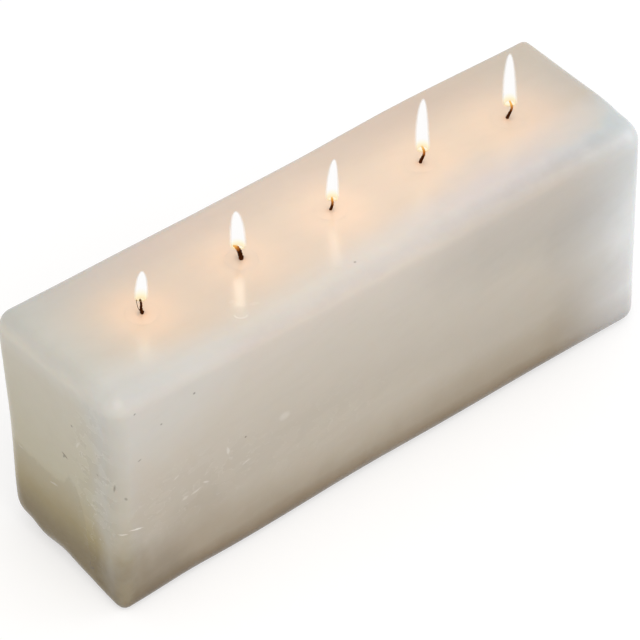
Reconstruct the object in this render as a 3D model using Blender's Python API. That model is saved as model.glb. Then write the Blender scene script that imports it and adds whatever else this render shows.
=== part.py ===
"""A lit block candle: one poured wax block with a row of five wicks.

Sizes are in metres. The origin is the centre of the base, +X runs along the row of wicks,
-Y is the front and +Z is up. Run it with: blender --background --python part.py
"""

import math

import bmesh
import bpy
from mathutils import Vector

# The poured block
BLOCK_LENGTH = 0.400
BLOCK_DEPTH = 0.110
BLOCK_HEIGHT = 0.152

# Rounding of the block's eight corners: hand-poured blocks leave the mould uneven
LEFT_FRONT_BASE_ROUNDING = 0.0070
LEFT_FRONT_TOP_ROUNDING = 0.0120
LEFT_BACK_BASE_ROUNDING = 0.0180
LEFT_BACK_TOP_ROUNDING = 0.0115
RIGHT_FRONT_BASE_ROUNDING = 0.0105
RIGHT_FRONT_TOP_ROUNDING = 0.0185
RIGHT_BACK_BASE_ROUNDING = 0.0100
RIGHT_BACK_TOP_ROUNDING = 0.0055

# The room left between two pieces that meet
FIT_GAP = 0.0003

# The braided wicks, which run from the base up through the block
WICK_SPACING = 0.0680
WICK_RADIUS = 0.00140
WICK_TIP_RADIUS = 0.00085

# The crimped metal tab at the foot of each wick, pressed into the base
TAB_RADIUS = 0.0100
TAB_THICKNESS = 0.0005
TAB_INSET = 0.0004
NECK_HEIGHT = 0.0060
NECK_WALL = 0.0004

# The pool of molten wax round each wick
POOL_RADIUS = 0.0120
POOL_RIM_DEPTH = 0.0005
POOL_DEPTH = 0.0014
# The share of the floor's rise, from wick to rim, that its inner half takes
POOL_INNER_RISE = 0.25

# The share of a flame's height at which it is widest, and how blunt its two ends are
FLAME_WIDEST_AT = 0.24
FLAME_TIP_BLUNTNESS = 2.3
FLAME_FOOT_BLUNTNESS = 2.0
# How far towards its foot and its tip the round of a flame goes before the small flat end
FLAME_FOOT_REACH = 0.90
FLAME_TIP_REACH = 0.997

# The wicks and flames lean across the row, along this level direction
LEAN_DIRECTION = Vector((0.762, -0.648, 0.0))

# Faces round each shape
ROUNDING_STEPS = 8
TURNED_SIDES = 24
WICK_SIDES = 10
FLAME_SIDES = 16
FLAME_RINGS = 12
POINTS_PER_BEND = 4

# Edges turned less than this are shaded smooth, and faces turned less than this are one face
SMOOTH_ANGLE = math.radians(35)
FLAT_ANGLE = math.radians(0.5)
# Points closer than this are one point
MERGE_DISTANCE = 1e-6

# One entry for each wick, from left to right. drift is how far the wick wandered along and across
# the row as the wax was poured. bend has the points of its free end, as (lean, rise) from the top of
# the wax. The flame has a foot and a tip, as (lean, rise), and its radius at the widest place.
CANDLE_WICKS = (
    {
        "drift": (-0.0015, -0.0016),
        "bend": ((-0.0006, 0.0024), (-0.0005, 0.0050), (-0.0004, 0.0074), (-0.0006, 0.0102)),
        "flame_foot": (-0.0004, 0.0083),
        "flame_tip": (0.0009, 0.0287),
        "flame_radius": 0.0036,
    },
    {
        "drift": (0.0016, 0.0002),
        "bend": ((-0.0003, 0.0029), (-0.0013, 0.0055), (-0.0025, 0.0076), (-0.0038, 0.0088)),
        "flame_foot": (-0.0015, 0.0058),
        "flame_tip": (-0.0026, 0.0326),
        "flame_radius": 0.0043,
    },
    {
        "drift": (-0.0002, 0.0014),
        "bend": ((0.0008, 0.0032), (0.0012, 0.0058), (0.0011, 0.0078), (0.0008, 0.0095)),
        "flame_foot": (0.0010, 0.0056),
        "flame_tip": (0.0021, 0.0354),
        "flame_radius": 0.0037,
    },
    {
        "drift": (-0.0001, 0.0017),
        "bend": ((0.0009, 0.0020), (0.0018, 0.0042), (0.0024, 0.0068), (0.0019, 0.0090), (0.0003, 0.0122)),
        "flame_foot": (0.0014, 0.0058),
        "flame_tip": (0.0009, 0.0447),
        "flame_radius": 0.0040,
    },
    {
        "drift": (-0.0007, 0.0009),
        "bend": ((0.0009, 0.0024), (0.0019, 0.0050), (0.0022, 0.0072), (0.0014, 0.0098), (0.0002, 0.0125)),
        "flame_foot": (0.0013, 0.0064),
        "flame_tip": (0.0001, 0.0456),
        "flame_radius": 0.0040,
    },
)


def clear_scene():
    for old in list(bpy.data.objects):
        bpy.data.objects.remove(old)


def material(name, colour, roughness, metallic=0.0, glow=0.0):
    made = bpy.data.materials.new(name)
    made.use_nodes = True
    shader = made.node_tree.nodes["Principled BSDF"]
    shader.inputs["Base Color"].default_value = (*colour, 1.0)
    shader.inputs["Roughness"].default_value = roughness
    shader.inputs["Metallic"].default_value = metallic
    shader.inputs["Emission Color"].default_value = (*colour, 1.0)
    shader.inputs["Emission Strength"].default_value = glow
    return made


def add_object(name, shape, finish=None):
    """Puts a bmesh into the scene as an object, shaded smooth but for its sharp edges."""
    bmesh.ops.recalc_face_normals(shape, faces=shape.faces)
    mesh = bpy.data.meshes.new(name)
    shape.to_mesh(mesh)
    shape.free()
    mesh.shade_smooth()
    mesh.set_sharp_from_angle(angle=SMOOTH_ANGLE)
    made = bpy.data.objects.new(name, mesh)
    bpy.context.scene.collection.objects.link(made)
    if finish:
        mesh.materials.append(finish)
    return made


def hide_cutter(cutter):
    cutter.hide_render = True
    cutter.display_type = "WIRE"


def cut(target, cutter):
    hide_cutter(cutter)
    boolean = target.modifiers.new(cutter.name, "BOOLEAN")
    boolean.operation = "DIFFERENCE"
    boolean.object = cutter


def turned(profile, closed):
    """Turns a profile of (radius, height) points about the vertical axis."""
    shape = bmesh.new()
    corners = [shape.verts.new((radius, 0.0, height)) for radius, height in profile]
    edges = [shape.edges.new(pair) for pair in zip(corners, corners[1:])]
    if closed:
        edges.append(shape.edges.new((corners[-1], corners[0])))
    bmesh.ops.spin(
        shape,
        geom=corners + edges,
        axis=(0.0, 0.0, 1.0),
        cent=(0.0, 0.0, 0.0),
        angle=math.tau,
        steps=TURNED_SIDES,
        use_merge=True,
    )
    bmesh.ops.remove_doubles(shape, verts=shape.verts, dist=MERGE_DISTANCE)
    return shape


def swept(spine, radii, sides):
    """A round tube along a list of points, with its own radius at each and a flat cap at each end."""
    shape = bmesh.new()
    rings = []
    for index, (point, radius) in enumerate(zip(spine, radii)):
        before = spine[max(index - 1, 0)]
        after = spine[min(index + 1, len(spine) - 1)]
        along = (after - before).normalized()
        side = Vector((0.0, 1.0, 0.0)).cross(along).normalized()
        other = along.cross(side)
        ring = []
        for step in range(sides):
            turn = math.tau * step / sides
            offset = side * math.cos(turn) + other * math.sin(turn)
            ring.append(shape.verts.new(point + offset * radius))
        rings.append(ring)
    for lower, upper in zip(rings, rings[1:]):
        for step in range(sides):
            after = (step + 1) % sides
            shape.faces.new((lower[step], lower[after], upper[after], upper[step]))
    shape.faces.new(rings[0])
    shape.faces.new(rings[-1])
    return shape


def smooth_line(points, steps):
    """Points on a Catmull-Rom curve through the given ones, with steps points to each stretch."""
    ends = [points[0] * 2 - points[1], *points, points[-1] * 2 - points[-2]]
    line = []
    for a, b, c, d in zip(ends, ends[1:], ends[2:], ends[3:]):
        for step in range(steps):
            t = step / steps
            start = b * 2 + (c - a) * t
            turn = (a * 2 - b * 5 + c * 4 - d) * t**2
            twist = (b * 3 - a - c * 3 + d) * t**3
            line.append((start + turn + twist) / 2)
    line.append(points[-1])
    return line


def wick_place(index):
    middle = (len(CANDLE_WICKS) - 1) / 2
    along, across = CANDLE_WICKS[index]["drift"]
    return Vector(((index - middle) * WICK_SPACING + along, across, 0.0))


def leaning(index, lean, rise):
    """A point above the wax, given by how far it leans and how high it stands."""
    return wick_place(index) + LEAN_DIRECTION * lean + Vector((0.0, 0.0, BLOCK_HEIGHT + rise))


def wick_line(index):
    """The wick's centre line, from its cut foot in the tab to its burnt tip, and its radii."""
    foot = wick_place(index) + Vector((0.0, 0.0, TAB_INSET))
    surface = leaning(index, 0.0, 0.0)
    # The last point below the surface keeps the wick upright where it leaves the wax
    below = leaning(index, 0.0, -POOL_DEPTH)
    free = [surface] + [leaning(index, lean, rise) for lean, rise in CANDLE_WICKS[index]["bend"]]
    curve = smooth_line(free, POINTS_PER_BEND)
    radii = [WICK_RADIUS, WICK_RADIUS]
    for step in range(len(curve)):
        burnt = step / (len(curve) - 1)
        radii.append(WICK_RADIUS + (WICK_TIP_RADIUS - WICK_RADIUS) * burnt**2)
    return [foot, below, *curve], radii


def corner_points():
    """The part of a sphere inside each corner of the block, so that their hull is the block."""
    roundings = {
        (-1, -1, 0): LEFT_FRONT_BASE_ROUNDING,
        (-1, -1, 1): LEFT_FRONT_TOP_ROUNDING,
        (-1, 1, 0): LEFT_BACK_BASE_ROUNDING,
        (-1, 1, 1): LEFT_BACK_TOP_ROUNDING,
        (1, -1, 0): RIGHT_FRONT_BASE_ROUNDING,
        (1, -1, 1): RIGHT_FRONT_TOP_ROUNDING,
        (1, 1, 0): RIGHT_BACK_BASE_ROUNDING,
        (1, 1, 1): RIGHT_BACK_TOP_ROUNDING,
    }
    points = []
    for (end, face, top), rounding in roundings.items():
        level = 1 if top else -1
        corner = Vector((end * BLOCK_LENGTH / 2, face * BLOCK_DEPTH / 2, top * BLOCK_HEIGHT))
        outward = Vector((end, face, level))
        for i in range(ROUNDING_STEPS + 1):
            for j in range(ROUNDING_STEPS + 1 - i):
                k = ROUNDING_STEPS - i - j
                spread = [math.sin(math.pi / 2 * share / ROUNDING_STEPS) for share in (i, j, k)]
                direction = Vector(spread).normalized()
                inset = Vector((1.0, 1.0, 1.0)) - direction
                points.append(corner - outward * inset * rounding)
    return points


def seat_profile():
    """What the block gives up at each wick: the tab's recess, the wick's bore and the pool's dish."""
    bore = WICK_RADIUS + FIT_GAP
    neck = bore + NECK_WALL + FIT_GAP
    beyond = TAB_RADIUS
    tab_top = TAB_INSET + TAB_THICKNESS + FIT_GAP
    neck_top = TAB_INSET + NECK_HEIGHT + FIT_GAP
    return [
        (0.0, -beyond),
        (TAB_RADIUS + FIT_GAP, -beyond),
        (TAB_RADIUS + FIT_GAP, tab_top),
        (neck, tab_top),
        (neck, neck_top),
        (bore, neck_top),
        *pool_bowl(FIT_GAP),
        (POOL_RADIUS + FIT_GAP, BLOCK_HEIGHT + beyond),
        (0.0, BLOCK_HEIGHT + beyond),
    ]


def pool_bowl(gap):
    """The underside of a pool from its wick out to its rim, moved down and out by a gap."""
    bore = WICK_RADIUS + FIT_GAP
    floor = BLOCK_HEIGHT - POOL_DEPTH
    rim = BLOCK_HEIGHT - POOL_RIM_DEPTH
    middle = (bore + POOL_RADIUS) / 2
    return [
        (bore, floor - gap),
        (middle, floor + (rim - floor) * POOL_INNER_RISE - gap),
        (POOL_RADIUS + gap, rim - gap),
    ]


def make_block(finish):
    shape = bmesh.new()
    for point in corner_points():
        shape.verts.new(point)
    hull = bmesh.ops.convex_hull(shape, input=shape.verts)
    inner = [item for item in hull["geom_interior"] if isinstance(item, bmesh.types.BMVert)]
    bmesh.ops.delete(shape, geom=inner, context="VERTS")
    bmesh.ops.dissolve_limit(shape, angle_limit=FLAT_ANGLE, verts=shape.verts, edges=shape.edges)
    block = add_object("wax_block", shape, finish)
    for index in range(len(CANDLE_WICKS)):
        seat = add_object(f"seat_cutter_{index + 1}", turned(seat_profile(), closed=False))
        seat.location = wick_place(index)
        cut(block, seat)


def make_wick(index, finish):
    spine, radii = wick_line(index)
    add_object(f"wick_{index + 1}", swept(spine, radii, WICK_SIDES), finish)


def make_tab(index, finish):
    bore = WICK_RADIUS + FIT_GAP
    plate_top = TAB_INSET + TAB_THICKNESS
    neck_top = TAB_INSET + NECK_HEIGHT
    profile = [
        (bore, TAB_INSET),
        (TAB_RADIUS, TAB_INSET),
        (TAB_RADIUS, plate_top),
        (bore + NECK_WALL, plate_top),
        (bore + NECK_WALL, neck_top),
        (bore, neck_top),
    ]
    tab = add_object(f"wick_tab_{index + 1}", turned(profile, closed=True), finish)
    tab.location = wick_place(index)


def make_pool(index, finish):
    bore = WICK_RADIUS + FIT_GAP
    profile = [(bore, BLOCK_HEIGHT), *pool_bowl(0.0), (POOL_RADIUS, BLOCK_HEIGHT)]
    pool = add_object(f"melt_pool_{index + 1}", turned(profile, closed=True), finish)
    pool.location = wick_place(index)


def flame_width(share):
    """A flame's radius at a share of its height, as a share of its largest radius."""
    if share < FLAME_WIDEST_AT:
        drop = (FLAME_WIDEST_AT - share) / FLAME_WIDEST_AT
        return math.sqrt(1 - (FLAME_FOOT_REACH * drop) ** FLAME_FOOT_BLUNTNESS)
    climb = (share - FLAME_WIDEST_AT) / (1 - FLAME_WIDEST_AT)
    return math.sqrt(max(1 - climb**FLAME_TIP_BLUNTNESS, 0.0))


def make_flame(index, finish):
    row = CANDLE_WICKS[index]
    foot = leaning(index, *row["flame_foot"])
    tip = leaning(index, *row["flame_tip"])
    spine = []
    radii = []
    for ring in range(FLAME_RINGS):
        # The rings draw together towards both ends, where the flame's side curves most
        share = FLAME_TIP_REACH * (0.5 - 0.5 * math.cos(math.pi * ring / (FLAME_RINGS - 1)))
        spine.append(foot.lerp(tip, share))
        radii.append(row["flame_radius"] * flame_width(share))
    flame = add_object(f"flame_{index + 1}", swept(spine, radii, FLAME_SIDES), finish)
    centre, wick_radii = wick_line(index)
    # The wick's own line, a little longer and wider, clears the flame off it
    past_tip = centre[-1] + (centre[-1] - centre[-2]).normalized() * FIT_GAP
    room = [radius + FIT_GAP for radius in wick_radii]
    room.append(room[-1])
    cut(flame, add_object(f"wick_room_{index + 1}", swept([*centre, past_tip], room, WICK_SIDES)))


def main():
    clear_scene()
    wax = material("candle_wax", (0.80, 0.74, 0.66), 0.42)
    molten = material("molten_wax", (0.90, 0.78, 0.62), 0.08)
    braid = material("charred_braid", (0.05, 0.025, 0.015), 0.95)
    tin = material("tinned_steel", (0.62, 0.62, 0.60), 0.30, metallic=1.0)
    fire = material("flame", (1.0, 0.86, 0.58), 0.60, glow=6.0)
    make_block(wax)
    for index in range(len(CANDLE_WICKS)):
        make_tab(index, tin)
        make_wick(index, braid)
        make_pool(index, molten)
        make_flame(index, fire)


main()
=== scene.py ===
import math

import bmesh
import bpy
from mathutils import Matrix, Vector, noise


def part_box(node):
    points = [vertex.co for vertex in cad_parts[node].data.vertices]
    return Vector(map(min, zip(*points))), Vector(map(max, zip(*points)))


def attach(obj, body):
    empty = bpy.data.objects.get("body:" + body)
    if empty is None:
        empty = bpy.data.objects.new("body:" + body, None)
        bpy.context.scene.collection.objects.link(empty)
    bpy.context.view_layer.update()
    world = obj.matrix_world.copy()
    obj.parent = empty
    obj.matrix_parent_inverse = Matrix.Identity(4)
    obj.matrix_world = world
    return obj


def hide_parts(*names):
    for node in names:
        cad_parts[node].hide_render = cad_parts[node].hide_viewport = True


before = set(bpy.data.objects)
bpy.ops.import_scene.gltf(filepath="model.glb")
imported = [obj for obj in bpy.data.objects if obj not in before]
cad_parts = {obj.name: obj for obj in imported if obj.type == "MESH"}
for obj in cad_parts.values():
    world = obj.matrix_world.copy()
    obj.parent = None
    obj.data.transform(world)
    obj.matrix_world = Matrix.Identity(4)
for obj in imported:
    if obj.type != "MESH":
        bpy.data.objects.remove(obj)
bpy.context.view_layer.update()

millimetre = 0.001
blockLow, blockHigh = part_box("wax_block")
blockLength = blockHigh.x - blockLow.x
blockDepth = blockHigh.y - blockLow.y
blockHeight = blockHigh.z
halfLength = blockLength / 2
halfDepth = blockDepth / 2
wickCount = sum(name.startswith("wick_tab_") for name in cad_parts)
wickNumbers = range(1, wickCount + 1)


def middleOf(node):
    low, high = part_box(node)
    return (low + high) / 2


wickPlaces = [middleOf(f"wick_tab_{number}") for number in wickNumbers]
print("frame loaded, with", wickCount, "wicks")


def tint(code):
    # a colour as it looks on screen, turned into the linear one that sockets take
    linear = []
    for at in (0, 2, 4):
        part = int(code[at:at + 2], 16) / 255
        linear.append(part / 12.92 if part <= 0.04045 else ((part + 0.055) / 1.055) ** 2.4)
    return (*linear, 1.0)


class Wire:  # one shader socket, so that shader maths reads as plain sums
    def __init__(self, graph, socket):
        self.graph = graph
        self.socket = socket

    def other(self, name):
        return Wire(self.graph, self.socket.node.outputs[name])

    def __add__(self, other):
        return self.graph.maths("ADD", self, other)

    def __radd__(self, other):
        return self.graph.maths("ADD", other, self)

    def __sub__(self, other):
        return self.graph.maths("SUBTRACT", self, other)

    def __rsub__(self, other):
        return self.graph.maths("SUBTRACT", other, self)

    def __mul__(self, other):
        return self.graph.maths("MULTIPLY", self, other)

    def __rmul__(self, other):
        return self.graph.maths("MULTIPLY", other, self)

    def __abs__(self):
        return self.graph.maths("ABSOLUTE", self)


class Graph:  # the nodes of a material or of the world
    def __init__(self, tree):
        self.tree = tree

    def node(self, kind, settings, sockets, output=0):
        made = self.tree.nodes.new(kind)
        for name, setting in settings.items():
            if name == "stops":
                self.setStops(made.color_ramp, setting)
            elif name == "points":
                self.setPoints(made.mapping, setting)
            else:
                setattr(made, name, setting)
        for name, value in sockets.items():
            self.fill(made.inputs[name], value)
        return Wire(self, made.outputs[output]) if made.outputs else None

    def fill(self, socket, value):
        if isinstance(value, Wire):
            self.tree.links.new(value.socket, socket)
        else:
            socket.default_value = value

    def setStops(self, ramp, stops):
        while len(ramp.elements) < len(stops):
            ramp.elements.new(1.0)
        for element, (place, code) in zip(ramp.elements, stops):
            element.position = place
            element.color = tint(code)

    def setPoints(self, mapping, points):
        curve = mapping.curves[0]
        while len(curve.points) < len(points):
            curve.points.new(1.0, 1.0)
        for point, place in zip(curve.points, points):
            point.location = place
        mapping.update()

    def maths(self, operation, *values):
        return self.node("ShaderNodeMath", {"operation": operation}, dict(enumerate(values)))

    def blend(self, share, first, second):
        settings = {"data_type": "RGBA"}
        return self.node("ShaderNodeMix", settings, {0: share, 6: first, 7: second}, output=2)

    def soft(self, value, start, end):
        # 0 at start, 1 at end, with a smooth turn between them
        settings = {"interpolation_type": "SMOOTHSTEP"}
        return self.node("ShaderNodeMapRange", settings, {0: value, 1: start, 2: end})

    def ramp(self, value, stops):
        return self.node("ShaderNodeValToRGB", {"stops": stops}, {0: value})

    def curve(self, value, points):
        return self.node("ShaderNodeFloatCurve", {"points": points}, {1: value})

    def vector(self, operation, *values, output=0):
        settings = {"operation": operation}
        return self.node("ShaderNodeVectorMath", settings, dict(enumerate(values)), output)

    def attribute(self, name):
        return self.node("ShaderNodeAttribute", {"attribute_name": name}, {}, output="Fac")

    def place(self):
        return self.node("ShaderNodeTexCoord", {}, {}, output="Object")

    def axes(self, where):
        x = self.node("ShaderNodeSeparateXYZ", {}, {0: where})
        return x, x.other("Y"), x.other("Z")

    def grain(self, where, size, detail=2.0, roughness=0.5):
        # cloudy noise from 0 to 1, whose patches are about size metres across
        sockets = {"Vector": where, "Scale": 1.0 / size, "Detail": detail, "Roughness": roughness}
        return self.node("ShaderNodeTexNoise", {}, sockets)

    def shifted(self, where, size, reach):
        # places pushed about by cloudy noise, for ragged outlines
        cloud = self.grain(where, size, 3.0).other("Color")
        centred = self.vector("SUBTRACT", cloud, (0.5, 0.5, 0.5))
        return self.vector("MULTIPLY_ADD", centred, (reach, reach, reach), where)

    def local(self, where, centre, size, turn):
        # places measured from a centre, in its half sizes
        sockets = {"Vector": where, "Location": centre, "Rotation": turn, "Scale": size}
        return self.node("ShaderNodeMapping", {"vector_type": "TEXTURE"}, sockets)

    def blot(self, where, centre, size, turn=(0.0, 0.0, 0.0), edge=0.5):
        # 1 inside an egg shape with these half sizes, fading out across its edge
        measured = self.local(where, centre, size, turn)
        reach = self.vector("LENGTH", measured, output="Value")
        return self.soft(reach, 1.0 + edge / 2, 1.0 - edge / 2)

    def bow(self, where, centre, size, turn, thickness, fade):
        # the near half of a ring on the top face, fading out towards its ends
        measured = self.local(where, centre, size, turn)
        reach = self.vector("LENGTH", measured, output="Value")
        near = self.axes(measured)[1]
        return self.soft(abs(reach - 1.0), thickness, 0.0) * self.soft(near, fade, -fade)

    def bump(self, height, distance):
        return self.node("ShaderNodeBump", {}, {"Height": height, "Distance": distance})


class Finish(Graph):  # a material being made, with one Principled shader
    def __init__(self, name):
        self.material = bpy.data.materials.new(name)
        self.material.use_nodes = True
        super().__init__(self.material.node_tree)
        self.shader = self.tree.nodes["Principled BSDF"]

    def surface(self, **values):
        # "BaseColor" is the socket "Base Color", and so on
        for name, value in values.items():
            label = "".join(" " + letter if letter.isupper() else letter for letter in name).strip()
            self.fill(self.shader.inputs[label], value)

    def noShine(self):
        self.shader.inputs["Specular IOR Level"].default_value = 0.0


def newObject(name, data):
    made = bpy.data.objects.new(name, data)
    bpy.context.scene.collection.objects.link(made)
    return made


def newMesh(name, shape):
    mesh = bpy.data.meshes.new(name)
    shape.to_mesh(mesh)
    shape.free()
    return mesh


def newPiece(name, shape, material, slot, *nodes):
    bmesh.ops.recalc_face_normals(shape, faces=shape.faces)
    mesh = newMesh(name, shape)
    mesh.shade_smooth()
    mesh.materials.append(material)
    piece = newObject(name, mesh)
    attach(piece, "root")
    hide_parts(*nodes)
    return piece


def anglesRound(count):
    return [math.tau * at / count for at in range(count)]


def joinRings(shape, rings, closed=False):
    # faces between rings of corners, and then a lid on each end, or a way back to the first ring
    pairs = zip(rings, rings[1:] + rings[:1]) if closed else zip(rings, rings[1:])
    for lower, upper in pairs:
        for at in range(len(lower)):
            after = (at + 1) % len(lower)
            shape.faces.new((lower[at], lower[after], upper[after], upper[at]))
    if not closed:
        shape.faces.new(rings[0])
        shape.faces.new(rings[-1])


# the poured block: the rounding of its corners, and how it shrank and sagged in the mould
block = {
    "rounding": {
        ("left", "front", "base"): 7.0 * millimetre,
        ("left", "front", "top"): 12.0 * millimetre,
        ("left", "back", "base"): 18.0 * millimetre,
        ("left", "back", "top"): 11.5 * millimetre,
        ("right", "front", "base"): 10.5 * millimetre,
        ("right", "front", "top"): 18.5 * millimetre,
        ("right", "back", "base"): 10.0 * millimetre,
        ("right", "back", "top"): 5.5 * millimetre,
    },
    "frontBow": 1.3 * millimetre,
    "backBow": 0.9 * millimetre,
    "bowUpward": 0.2,  # the share of a side's bow that fades out at its top and base
    "endBow": 1.0 * millimetre,
    "endBowUpward": 0.5,
    "dish": 0.8 * millimetre,
    "dishHold": 12,  # the higher, the closer to the top the sag stays
    "dishFill": 2,  # the higher, the further the sag runs towards the ends
    "lump": 0.30 * millimetre,
    "lumpSize": 45 * millimetre,
    "ripple": 0.25,
    "rippleSize": 9 * millimetre,
    "fineStep": 1.3 * millimetre,
    "coarseStep": 2.1 * millimetre,
    "fineReach": 15 * millimetre,
    "wearReach": 36 * millimetre,
}

# the axis and the place of each side of the block
sides = {
    "left": (0, -halfLength),
    "right": (0, halfLength),
    "front": (1, -halfDepth),
    "back": (1, halfDepth),
    "base": (2, 0.0),
    "top": (2, blockHeight),
}

# where an edge wore rounder or stayed sharper, in millimetres:
# the two sides that meet, place along, half width, extra rounding
edgeWear = [
    ("front", "base", -150, 24, 1.8),
    ("front", "base", -20, 50, 2.3),
    ("front", "base", 110, 60, 1.0),
    ("left", "base", 2, 16, 5.0),
    ("left", "base", -22, 12, 1.6),
    ("left", "base", 31, 10, 3.0),
    ("left", "back", 0, 22, 3.8),
    ("left", "back", 65, 50, 3.1),
    ("back", "top", 95, 62, -4.2),
    ("right", "top", -36, 13, 4.0),
]


def smooth(share):
    share = min(max(share, 0.0), 1.0)
    return share * share * (3 - 2 * share)


def mixed(share, first, second):
    return (1 - share) * first + share * second


def roundingAt(x, y, z):
    shares = (x / blockLength + 0.5, y / blockDepth + 0.5, z / blockHeight)
    total = 0.0
    for corner, rounding in block["rounding"].items():
        weight = 1.0
        for name, share in zip(corner, shares):
            weight *= share if name in ("right", "back", "top") else 1 - share
        total += weight * rounding
    place = (x, y, z)
    for first, second, centre, reach, extra in edgeWear:
        firstAxis, firstPlace = sides[first]
        secondAxis, secondPlace = sides[second]
        away = math.hypot(place[firstAxis] - firstPlace, place[secondAxis] - secondPlace)
        if away < block["wearReach"]:
            along = place[3 - firstAxis - secondAxis] / millimetre
            share = math.exp(-(((along - centre) / reach) ** 2))
            total += extra * millimetre * share * smooth(2 - 2 * away / block["wearReach"])
    return total


def waxPoint(x, y, z):
    # a point of the sharp-edged box, moved to where the wax really is
    rounding = roundingAt(x, y, z)
    inner = Vector(
        (
            max(min(x, halfLength - rounding), rounding - halfLength),
            max(min(y, halfDepth - rounding), rounding - halfDepth),
            max(min(z, blockHeight - rounding), rounding),
        )
    )
    outward = (Vector((x, y, z)) - inner).normalized()
    point = inner + outward * rounding
    lengthwise = 1 - (2 * point.x / blockLength) ** 2
    crosswise = 1 - (2 * point.y / blockDepth) ** 2
    upward = math.sin(math.pi * point.z / blockHeight)
    nearTop = (point.z / blockHeight) ** block["dishHold"]
    lump = 0.5 + 0.5 * noise.fractal(point / block["lumpSize"], 1.0, 2.0, 3)
    ripple = 0.5 + 0.5 * noise.noise(point / block["rippleSize"])
    offBase = 1 - smooth(-outward.z)
    point -= outward * offBase * block["lump"] * (lump + block["ripple"] * ripple)
    sideBow = block["backBow"] if point.y > 0 else block["frontBow"]
    sideShare = lengthwise * mixed(block["bowUpward"], 1.0, upward)
    endShare = mixed(block["endBowUpward"], crosswise, upward)
    point.y *= 1 - sideBow / halfDepth * sideShare
    point.x *= 1 - block["endBow"] / halfLength * endShare
    point.z -= block["dish"] * crosswise * nearTop * smooth(block["dishFill"] * lengthwise)
    return point


def gridLines(low, high, centres):
    # places along one side of the box, closer together at the wicks and the edges
    lines = [low]
    while lines[-1] < high - block["fineStep"] / 2:
        here = lines[-1]
        near = any(abs(here - centre) < block["fineReach"] for centre in (low, high, *centres))
        lines.append(here + (block["fineStep"] if near else block["coarseStep"]))
    stretch = (high - low) / (lines[-1] - low)
    return [low + (line - low) * stretch for line in lines]


# the pools of molten wax, each a film that covers its own dish
pool = {
    "radius": 12.4 * millimetre,
    "wander": 0.08,
    "wanderSize": 0.9,
    "wanderApart": 50,
    "dishShare": 0.66,
    "dishDepth": 1.1 * millimetre,
    "film": 0.05 * millimetre,
    "sunk": 0.05 * millimetre,
    "edgeDrop": 0.11 * millimetre,
    "edgeFrom": 0.55,
    "wickHole": 0.45 * millimetre,
    "climb": 0.7 * millimetre,
    "climbReach": 0.8 * millimetre,
    # how far the painted glow of flame light round each wick reaches
    "warmReach": 1.5 * millimetre,
    "segments": 72,
    "rings": 24,
}


def poolRadius(place, angle):
    around = Vector((math.cos(angle), math.sin(angle), place.x * pool["wanderApart"]))
    wander = noise.noise(around * pool["wanderSize"])
    return pool["radius"] * (1 + pool["wander"] * wander)


def dishDepth(x, y):
    reach = pool["radius"] * pool["dishShare"]
    for place in wickPlaces:
        across = math.hypot(x - place.x, y - place.y) / reach
        if across < 1:
            return pool["dishDepth"] * (1 - across ** 2)
    return 0.0


def blockMesh():
    shape = bmesh.new()
    xs = gridLines(-halfLength, halfLength, [place.x for place in wickPlaces])
    ys = gridLines(-halfDepth, halfDepth, [0.0])
    zs = gridLines(0.0, blockHeight, [])
    last = (len(xs) - 1, len(ys) - 1, len(zs) - 1)
    corners = {}

    def corner(i, j, k):
        if (i, j, k) not in corners:
            point = waxPoint(xs[i], ys[j], zs[k])
            if k == last[2]:
                point.z -= dishDepth(point.x, point.y)
            corners[i, j, k] = shape.verts.new(point)
        return corners[i, j, k]

    # two axes run along a side, and the third one across to the side that faces it
    for first, second, across in ((0, 1, 2), (0, 2, 1), (1, 2, 0)):
        for a in range(last[first]):
            for b in range(last[second]):
                for c in (0, last[across]):
                    ring = []
                    for stepA, stepB in ((0, 0), (1, 0), (1, 1), (0, 1)):
                        spot = {first: a + stepA, second: b + stepB, across: c}
                        ring.append(corner(spot[0], spot[1], spot[2]))
                    shape.faces.new(ring)
    return shape


# how the wax is coloured: stops up the sides by share of the height,
# and along the top by share of the length; the sides and the left end
# grow darker towards the base with painted shade, the top is warmer along
# the wicks with painted flame light, and the stops at the rounded edges
# carry painted shade and painted highlight
waxLook = {
    "side": [
        (0.00, "5d4e3b"), (0.07, "8f7d62"), (0.12, "a99b85"), (0.20, "b4a793"),
        (0.30, "c1b7a7"), (0.70, "d1c8ba"), (0.93, "dcd2c6"), (1.00, "c4bebc"),
    ],
    "end": [
        (0.00, "665120"), (0.16, "735d24"), (0.26, "a29059"), (0.36, "b8ab86"),
        (0.46, "c5bda2"), (0.86, "d4cdbb"), (0.94, "dcd8cc"), (1.00, "c6c4bf"),
    ],
    # painted light: a pale bluish band of daylight on the right end
    "cool": [
        (0.00, "aba8a5"), (0.10, "dfdedd"), (0.20, "f4f5f5"), (0.90, "e0e4e4"), (1.00, "c8ced0"),
    ],
    "topFront": [
        (0.03, "b8b6b2"), (0.25, "d4cdc2"), (0.50, "d8d1c8"), (0.75, "d0c9c6"), (0.95, "c1c8c9"),
    ],
    "topMiddle": [
        (0.03, "c5c3ba"), (0.13, "d1c4b3"), (0.50, "dccebd"), (0.80, "dccdba"),
        (0.90, "d5c7b7"), (0.98, "c2bbb0"),
    ],
    "topBack": [
        (0.03, "bdbdb6"), (0.25, "cec0b4"), (0.50, "d4c5b6"), (0.75, "cebeaf"), (0.95, "c8bdae"),
    ],
    "topSkew": 0.06,  # how far the front band of the top turns away from the edge
}

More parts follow.
